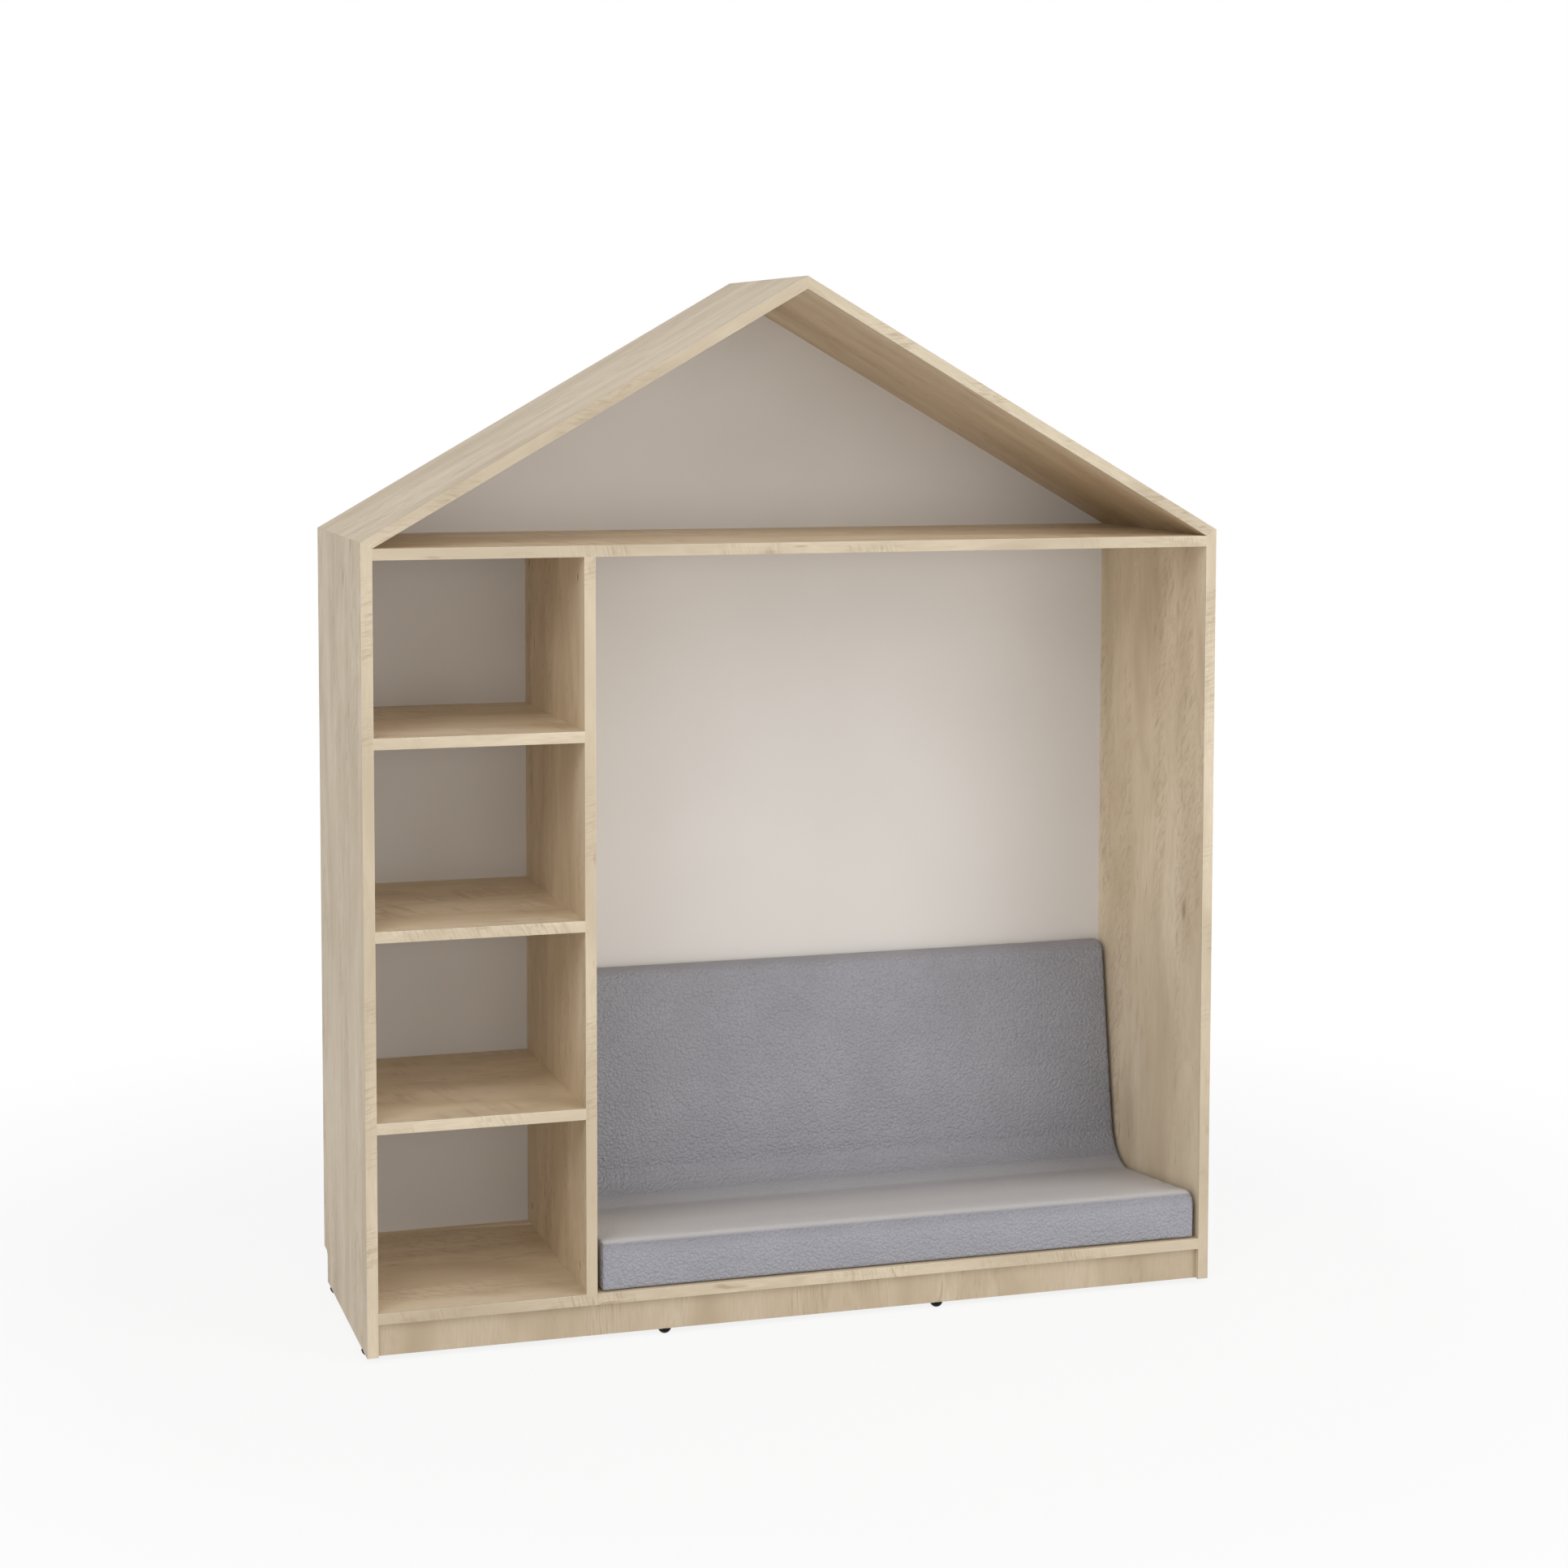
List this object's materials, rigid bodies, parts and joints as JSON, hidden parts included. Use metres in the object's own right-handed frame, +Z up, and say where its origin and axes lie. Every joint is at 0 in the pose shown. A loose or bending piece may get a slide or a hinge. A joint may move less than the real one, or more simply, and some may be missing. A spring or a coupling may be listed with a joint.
{
  "type": "house shaped bookcase with reading nook",
  "caption": "Children's bookcase in the outline of a house, with open bays on one side of a divider and an upholstered seat nook on the other, on a plinth with levelling feet.",
  "frame": {"origin": "on the floor under the middle of the cabinet", "axes": "+X to the right of someone facing the cabinet, with the bays at -X, +Y from the open front to the back, +Z up"},
  "size_m": [1.434, 0.45, 1.6938],
  "materials": {
    "laminate": "melamine laminate on chipboard, pale maple grain with short dark streaks, matt",
    "edge_band": "plastic edge band, maple coloured, lighter than the boards, satin",
    "back_board": "lacquered hardboard, plain pale greige, matt",
    "upholstery": "grey imitation leather with a fine grain, soft sheen",
    "foam": "open cell upholstery foam, unseen",
    "beech": "raw beech, unseen",
    "zinc": "die-cast zinc, dull",
    "steel": "zinc plated steel",
    "cover_plastic": "maple coloured plastic, matt",
    "foot_plastic": "black moulded plastic, glossy"
  },
  "bodies": {
    "cabinet": {"left_side_panel": "laminate", "right_side_panel": "laminate", "left_roof_panel": "laminate", "right_roof_panel": "laminate", "attic_shelf": "laminate", "divider": "laminate", "upper_shelf": "laminate", "middle_shelf": "laminate", "lower_shelf": "laminate", "bottom_panel": "laminate", "front_plinth": "laminate", "rear_plinth": "laminate", "back_panel": "back_board", "left_side_band": "edge_band", "right_side_band": "edge_band", "left_roof_band": "edge_band", "right_roof_band": "edge_band", "attic_shelf_band": "edge_band", "divider_band": "edge_band", "upper_shelf_band": "edge_band", "middle_shelf_band": "edge_band", "lower_shelf_band": "edge_band", "bottom_panel_band": "edge_band", "mitre_biscuits": "beech", "wooden_dowels": "beech", "cam_housings": "zinc", "cam_bolts": "steel", "cam_covers": "cover_plastic", "back_screws": "steel", "foot_sleeves": "steel"},
    "foot_left_front": {"left_front_foot": "foot_plastic"},
    "foot_left_rear": {"left_rear_foot": "foot_plastic"},
    "foot_right_front": {"right_front_foot": "foot_plastic"},
    "foot_right_rear": {"right_rear_foot": "foot_plastic"},
    "foot_front_plinth_left": {"front_plinth_left_foot": "foot_plastic"},
    "foot_front_plinth_right": {"front_plinth_right_foot": "foot_plastic"},
    "foot_rear_plinth_left": {"rear_plinth_left_foot": "foot_plastic"},
    "foot_rear_plinth_right": {"rear_plinth_right_foot": "foot_plastic"},
    "cushion": {"cushion_cover": "upholstery", "foam_core": "foam"}
  },
  "joints": [
    {"name": "left_front_foot_screw", "type": "slide", "parent": "cabinet", "child": "foot_left_front", "axis": [0, 0, -1], "range_m": [0, 0.01]},
    {"name": "left_rear_foot_screw", "type": "slide", "parent": "cabinet", "child": "foot_left_rear", "axis": [0, 0, -1], "range_m": [0, 0.01]},
    {"name": "right_front_foot_screw", "type": "slide", "parent": "cabinet", "child": "foot_right_front", "axis": [0, 0, -1], "range_m": [0, 0.01]},
    {"name": "right_rear_foot_screw", "type": "slide", "parent": "cabinet", "child": "foot_right_rear", "axis": [0, 0, -1], "range_m": [0, 0.01]},
    {"name": "front_plinth_left_foot_screw", "type": "slide", "parent": "cabinet", "child": "foot_front_plinth_left", "axis": [0, 0, -1], "range_m": [0, 0.01]},
    {"name": "front_plinth_right_foot_screw", "type": "slide", "parent": "cabinet", "child": "foot_front_plinth_right", "axis": [0, 0, -1], "range_m": [0, 0.01]},
    {"name": "rear_plinth_left_foot_screw", "type": "slide", "parent": "cabinet", "child": "foot_rear_plinth_left", "axis": [0, 0, -1], "range_m": [0, 0.01]},
    {"name": "rear_plinth_right_foot_screw", "type": "slide", "parent": "cabinet", "child": "foot_rear_plinth_right", "axis": [0, 0, -1], "range_m": [0, 0.01]},
    {"name": "cushion_pull", "type": "slide", "parent": "cabinet", "child": "cushion", "axis": [0, -1, 0], "range_m": [0, 0.46]}
  ]
}
